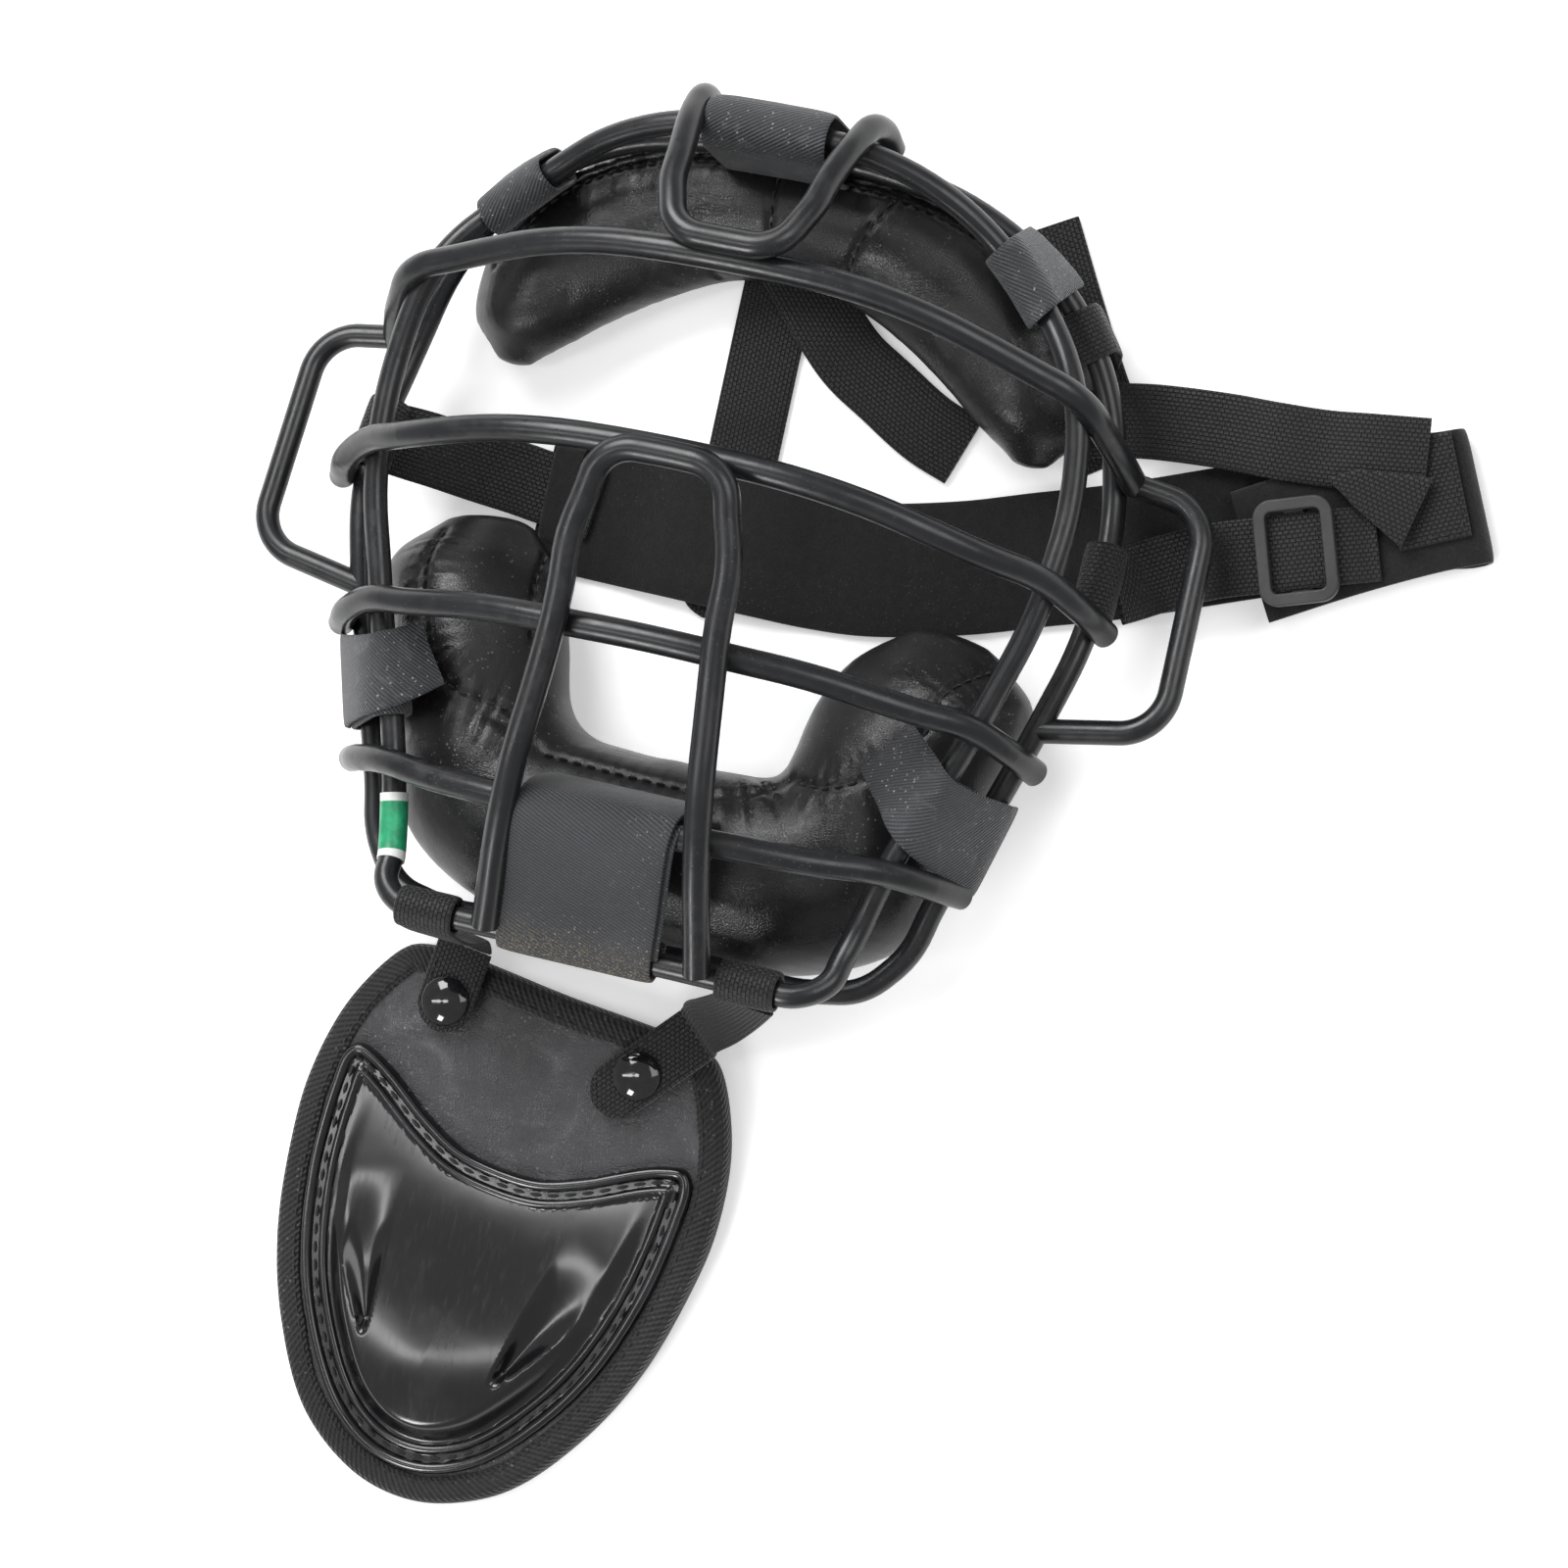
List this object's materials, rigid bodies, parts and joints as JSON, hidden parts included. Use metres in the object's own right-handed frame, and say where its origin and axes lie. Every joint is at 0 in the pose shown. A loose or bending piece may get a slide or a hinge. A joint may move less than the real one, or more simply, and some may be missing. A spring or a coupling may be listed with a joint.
{
  "type": "catcher's wire face mask with throat guard",
  "caption": "Black wire-cage face mask with leather pads held by woven tabs, a webbing and felt head harness with a slide buckle, and a snapped-on throat guard",
  "frame": {"origin": "on the floor under the crown strap, on the cage's plane of symmetry", "axes": "X across the face, +Y towards the top of the mask, +Z forwards out of the face; the mask lies on its back"},
  "size_m": [0.3298, 0.3886, 0.0945],
  "materials": {
    "coated_wire": "satin black vinyl coating over steel wire",
    "pad_leather": "soft black leather-like cover, fine grain",
    "foam": "closed-cell foam",
    "felt_band": "matt black felted loop fabric",
    "woven_tab": "woven black hook-and-loop tape",
    "green_label": "plain green film with white edges",
    "buckle_plastic": "matt black moulded plastic",
    "guard_leather": "dark grey leather-like sheet",
    "twill_binding": "black twill tape",
    "gloss_plate": "glossy black moulded plastic",
    "snap_black": "glossy black enamelled cap",
    "snap_metal": "nickelled brass",
    "webbing": "black ribbed webbing"
  },
  "bodies": {
    "mask": {"band_end_patch": "webbing", "band_end_tape": "felt_band", "brow_bar": "coated_wire", "chin_flap": "woven_tab", "chin_pad_cover": "pad_leather", "chin_pad_foam": "foam", "crown_loop": "coated_wire", "crown_strap": "webbing", "crown_tab": "woven_tab", "diagonal_strap": "webbing", "forehead_pad_cover": "pad_leather", "forehead_pad_foam": "foam", "front_rim": "coated_wire", "head_band": "felt_band", "label_band": "green_label", "lower_bar": "coated_wire", "lower_tab_left": "woven_tab", "lower_tab_right": "woven_tab", "middle_bar": "coated_wire", "nose_loop": "coated_wire", "rear_rim": "coated_wire", "side_loop_left": "coated_wire", "side_loop_right": "coated_wire", "side_strap_left": "webbing", "side_strap_right": "webbing", "temple_strap_right": "webbing", "top_strap": "webbing", "top_strap_fold": "webbing", "upper_bar": "coated_wire", "upper_tab_left": "woven_tab", "upper_tab_right": "woven_tab"},
    "guard_straps": {"guard_strap_left": "webbing", "guard_strap_right": "webbing"},
    "throat_guard": {"guard_back": "guard_leather", "guard_binding": "twill_binding", "guard_core": "foam", "guard_dome_pad": "foam", "guard_face": "guard_leather", "guard_plate": "gloss_plate", "snap_post_left": "snap_metal", "snap_post_right": "snap_metal", "snap_stud_left": "snap_metal", "snap_stud_right": "snap_metal"},
    "strap_tab_left": {"snap_tab_left": "webbing", "snap_cap_left": "snap_black", "snap_socket_left": "snap_metal"},
    "strap_tab_right": {"snap_tab_right": "webbing", "snap_cap_right": "snap_black", "snap_socket_right": "snap_metal"},
    "buckle": {"slide_buckle": "buckle_plastic"}
  },
  "joints": [
    {"name": "guard_strap_swing", "type": "hinge", "parent": "mask", "child": "guard_straps", "pos_m": [0, -0.11086, 0.05797], "axis": [-1, 0, 0], "range_deg": [0, 100]},
    {"name": "throat_guard_swing", "type": "hinge", "parent": "guard_straps", "child": "throat_guard", "pos_m": [-0.02198, -0.12403, 0.0131], "axis": [0.9914, -0.1305, 0], "range_deg": [-20, 80]},
    {"name": "snap_tab_left_lift", "type": "hinge", "parent": "throat_guard", "child": "strap_tab_left", "pos_m": [-0.05073, -0.12025, 0.0131], "axis": [-0.9914, 0.1305, 0], "range_deg": [0, 30]},
    {"name": "snap_tab_right_lift", "type": "hinge", "parent": "throat_guard", "child": "strap_tab_right", "pos_m": [0.00677, -0.12782, 0.0131], "axis": [-0.9914, 0.1305, 0], "range_deg": [0, 30]},
    {"name": "buckle_slide", "type": "slide", "parent": "mask", "child": "buckle", "axis": [0.9511, 0.309, 0], "range_m": [-0.012, 0]}
  ]
}
